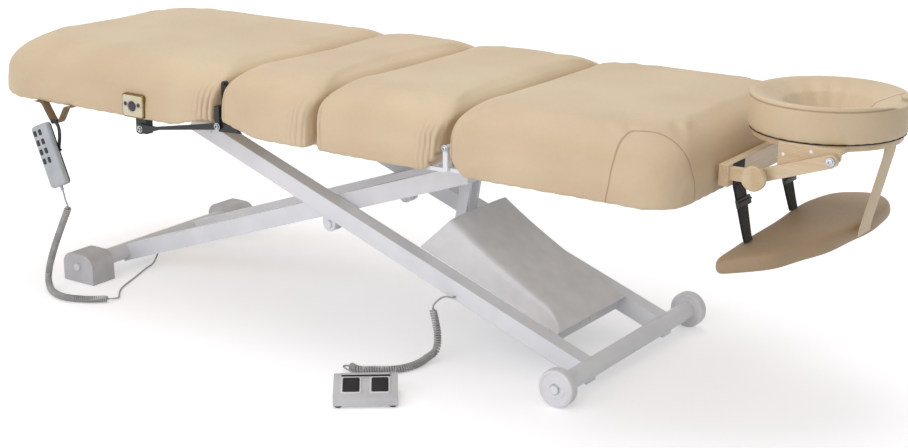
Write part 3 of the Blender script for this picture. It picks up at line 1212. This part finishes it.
# %% Handset
case_size = (56, 2 * half_case, 9)  # width, height and corner radius
key_size = (10, 14, 3)
key_pitch_x, key_pitch_z, key_top, key_shift = 18.0, 22.5, 58.0, 6.0
handset_turn = about_y(-math.degrees(hang))
front_levels = [(-10, 5.2), (-9.8, 4.4), (-9.0, 3.0), (-7.2, 1.2), (-5.5, 0.35), (-4, 0), (4.6, 0), (5.2, 0.5),
                (5.2, 2)]
back_levels = [(4.8, 2), (5.0, 1.0), (5.4, 0.7), (8.4, 0.7), (9.4, 1.2), (10, 2.4)]
shell_parts = [plate(*case_size, front_levels, handset_middle, handset_turn),
               turned([(0.1, -86), (3.2, -86), (4, -85.2), (4, -81), (3.2, -80.6), (3.2, -79.4), (4, -79), (4, -75),
                       (0.1, -74)], handset_middle, "z", 24, handset_turn)]
handset_shell = piece_of("handset_shell", shell_parts, "handset", ("handset_case",), 40)
paint(handset_shell, handset_abs)
hook_path = smooth_route([[-684, -353.2, 415.5], [-673, -353.2, 417], [-662, -353.2, 408], [-658.5, -353, 395],
                          [-660, -352.6, 375], [-664, -352.4, 356], [-665, -352.4, 346]], 10)
hook_foot = smooth_route([[-668, -352.6, 350], [-660, -353.2, 349], [-655.5, -353.6, 352]], 8)
hook_parts = [plate(*case_size, back_levels, handset_middle, handset_turn),
              strap_surface(hook_path, (0, 1, 0.0), 3.2, 8.5), strap_surface(hook_foot, (0, 1, 0), 3.0, 4.5),
              turned([(0.1, -354.2), (4.4, -354.2), (4.8, -353.4), (4.8, -351.6), (2.4, -351.2), (2.4, -328),
                      (0.1, -327.6)], (-680, 0, 414), "y", 24)]
handset_back = piece_of("handset_back_and_hook", hook_parts, "handset")
paint(handset_back, black_abs)
for number in range(8):
    down, side = divmod(number, 2)
    middle = handset_middle + handset_turn @ [(side - 0.5) * key_pitch_x - key_shift, 0.0,
                                              key_top - key_pitch_z * down]
    levels = [(-12.0, 1.6), (-11.8, 0.8), (-11.0, 0.2), (-8.0, 0.0)]
    button = piece_of(f"handset_key_{number + 1}", [plate(*key_size, levels, middle, handset_turn, 40)],
                      f"button_{number + 1}", (f"handset_button_{number + 1}",), 40)
    paint(button, black_abs)

# %% [markdown]
# The web is one cotton band sewn flat under the back section. It drops in a V and turns
# under the hook's pin; its width runs from front to back.

# %% Web under the back section
web_path = smooth_route([[-742, -338, 454.8], [-728, -338, 454.6], [-719, -338, 453], [-706, -338, 436],
                         [-692, -338, 416.5], [-685, -338, 411], [-675, -338, 410.4], [-667, -338, 414.5],
                         [-654, -338, 434], [-641, -338, 453], [-632, -338, 454.6], [-618, -338, 454.8]], 8)
web = piece_of("handset_web", [strap_surface(web_path, (0, 1, 0), 24, 1.6)], "back",
               ("handset_strap",), 60)
paint(web, brown_web)

# %% [markdown]
# The outlet in the near side is a cream moulding on a bronze-coloured edge plate, with a
# turned knob, two pin holes and the screws of its ring.

# %% Outlet
outlet = np.array([-417.0, 0.0, 485.0])
edge_levels = [(-349.6, 1.0), (-349.2, 0.3), (-348.4, 0), (-341, 0)]
edge_plate = piece_of("outlet_edge", [plate(66, 54, 8, edge_levels, outlet)], "back",
                      ("outlet_plate",), 40)
paint(edge_plate, bronze_edge)
face = plate(60, 48, 6, [(-351.4, 1.8), (-351.2, 1.0), (-350.4, 0.2), (-349.0, 0)], outlet)
collars = [turned([(r - 1.6, -351.0), (r - 1.2, -352.2), (r, -352.2), (r + 0.6, -351.6), (r + 0.6, -351)],
                  outlet + [x, 0, z], "y", 32) for x, z, r in ((-20, 4, 7.5), (20, 4, 7.5), (0, 0, 14.5))]
cream = piece_of("outlet_face", [face, *collars], "back")
paint(cream, cream_abs)
knob = turned([(0.1, -354.8), (8.4, -354.8), (9.6, -354.3), (11.2, -353.0), (11.6, -351.8), (11.6, -350.5),
               (0.1, -350.5)], outlet, "y", 48)
holes = [turned([(0.1, -352.4), (4.4, -352.4), (4.6, -352.2), (4.6, -351.2), (0.1, -351.2)],
                outlet + [x, 0, 4], "y", 24) for x in (-20, 20)]
paint(piece_of("outlet_knob", [knob, *holes], "back"), socket_dark)
screws = [turned([(0.1, -352.2), (1.6, -352.2), (2.2, -351.8), (2.2, -351), (0.1, -351)], outlet + [x, 0, z], "y", 16)
          for x, z in ((-20, -13), (20, -13), (-27, 0), (27, 0))]
paint(piece_of("outlet_screws", screws, "back"), zinc_plate)

# %% [markdown]
# ## Foot switch
#
# The CAD case keeps its shape. The black rubber pads have straight ribs across, each pad
# sits in a raised frame, and a black grip strip runs along the rear edge.

# %% Pedals, frames, grip and feet
switch_turn_z = about_z(math.degrees(switch_turn))
slope = math.atan2(17.0, 92.0)
pedal_x, pedal_z, pad_half, rib_top, rib_height, rib_pitch = 29.0, 30.5, 25, 3.0, 0.55, 3.4
tip = np.array([[1, 0, 0], [0, math.cos(slope), -math.sin(slope)], [0, math.sin(slope), math.cos(slope)]])


def on_switch(points, about=(0.0, 0.0, 0.0)):
    """Points in the switch's own frame (x along it, y back, z up), tilted with its top
    about the given place and turned to where the switch stands."""
    return (np.asarray(points) @ tip.T + np.asarray(about)) @ switch_turn_z.T + switch_middle


frames_parts = []
for side, x in (("left", -pedal_x), ("right", pedal_x)):
    v = np.linspace(-pad_half, pad_half, 141)
    rib = rib_top + rib_height * np.sin(2 * math.pi * v / rib_pitch) * np.clip((24 - np.abs(v)) / 1.5, 0, 1)
    loop_y = np.concatenate([[-24.6, 24.6], v[::-1]])
    loop_z = np.concatenate([[-2.6, -2.6], rib[::-1]])
    rings = np.stack([np.stack([np.full_like(loop_y, u), loop_y * (1 - inset / pad_half),
                                np.where(loop_z > 0, loop_z - inset, loop_z)], axis=1)
                      for u, inset in ((-16, 1.4), (-15.6, 0.5), (-14.8, 0), (14.8, 0), (15.6, 0.5), (16, 1.4))])
    points, faces = closed_tube(rings)
    pedal = piece_of(f"pedal_pad_{side}", [(on_switch(points, (x, 0, pedal_z)), faces)], f"{side}_pedal",
                     (f"foot_pedal_{side}",), 40)
    paint(pedal, black_rubber)
    u = np.arange(88) / 88
    rings = []
    for inset, z in ((0, 0.0), (0.2, 1.6), (0.8, 2.2), (2.6, 2.2), (3.2, 1.6), (3.4, -1.0)):
        ox, oy = outline_points(u, -20.4 + inset, 20.4 - inset, 29.4 - inset, 4.0, 4.0)
        rings.append(np.stack([ox, oy, np.full_like(ox, z)], axis=1))
    points, faces = closed_ring(np.array(rings))
    frames_parts.append((on_switch(points, (x, 0, pedal_z)), faces))
paint(piece_of("pedal_frames", frames_parts, "base"), grey_abs)
top_at = 5 + 17 + (38 + 46) * math.tan(slope)
grip = rounded_box((98.6, 9.8, 7.0), 1.5)
dark_parts = [(on_switch(grip[0], (0, 37.0, top_at + 0.4)), grip[1])]
for x in (-54.5, 54.5):
    for y in (-35.5, 35.5):
        points, faces = turned([(0.1, 0.1), (6.4, 0.1), (7.4, 0.9), (7.4, 5.2), (0.1, 5.2)], (x, y, 0), "z", 28)
        dark_parts.append((points @ switch_turn_z.T + switch_middle, faces))
paint(piece_of("grip_and_feet", dark_parts, "base"), black_rubber)

# %% [markdown]
# ## The carried-over CAD pieces
#
# Tubes, boards, brackets and arms have the right shape already. They keep their CAD
# mesh and get their material. A live weld joins the doubled points along their edges, and
# a small live bevel then gives sharp corners the rounded edge that bent tube and painted
# plate have.

# %% Materials of the CAD nodes
cad_finish = (
    (foot_nylon, "foot_block_near foot_block_far foot_switch_case"),
    (powder_coat, "foot_axle wheel_axle inner_tube_near inner_tube_far outer_tube_near outer_tube_far lift_lever "
                  "drive_cross_member seat_hinge_bar deck_rail_near deck_rail_far deck_bracket_near "
                  "deck_bracket_far thigh_hinge_bar thigh_panel leg_panel"),
    (black_abs, "actuator_housing"), (chromed_rod, "actuator_rod"),
    (black_dip, "hinge_arm_near hinge_arm_far seat_plate_near seat_plate_far"),
    (flat_birch, "back_board seat_board cradle_platform"), (bar_birch, "cradle_crossbar"),
    (upright_birch, "cradle_arm_near cradle_arm_far"), (knob_birch, "cradle_knob"),
)
finish_of = {node: finish for finish, nodes in cad_finish for node in nodes.split()}
small_bevel, merge_metres = 0.8, 0.00002
bevel_mm = {"foot_block_near": 4.0, "foot_block_far": 4.0, "outer_tube_near": 2.5, "outer_tube_far": 2.5,
            "inner_tube_near": 2.5, "inner_tube_far": 2.5, "foot_switch_case": 2.0, "cradle_knob": 3.0}
for node, finish in finish_of.items():
    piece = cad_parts[node]
    paint(piece, finish)
    weld = piece.modifiers.new("weld", "WELD")
    weld.merge_threshold = merge_metres
    edge = piece.modifiers.new("edge", "BEVEL")
    edge.width = bevel_mm.get(node, small_bevel) / 1000
    edge.segments = 2
    edge.limit_method = "ANGLE"
    edge.angle_limit = math.radians(38)
    edge.harden_normals = False
print(len(finish_of), "CAD nodes finished")

# %% [markdown]
# ## Check the box and finish
#
# Fabric may stand a little proud of its CAD solid, but nothing may grow past it. The two
# boxes are written side by side, so that they can be compared after each render.

# %% Sizes and last line
bpy.context.view_layer.update()
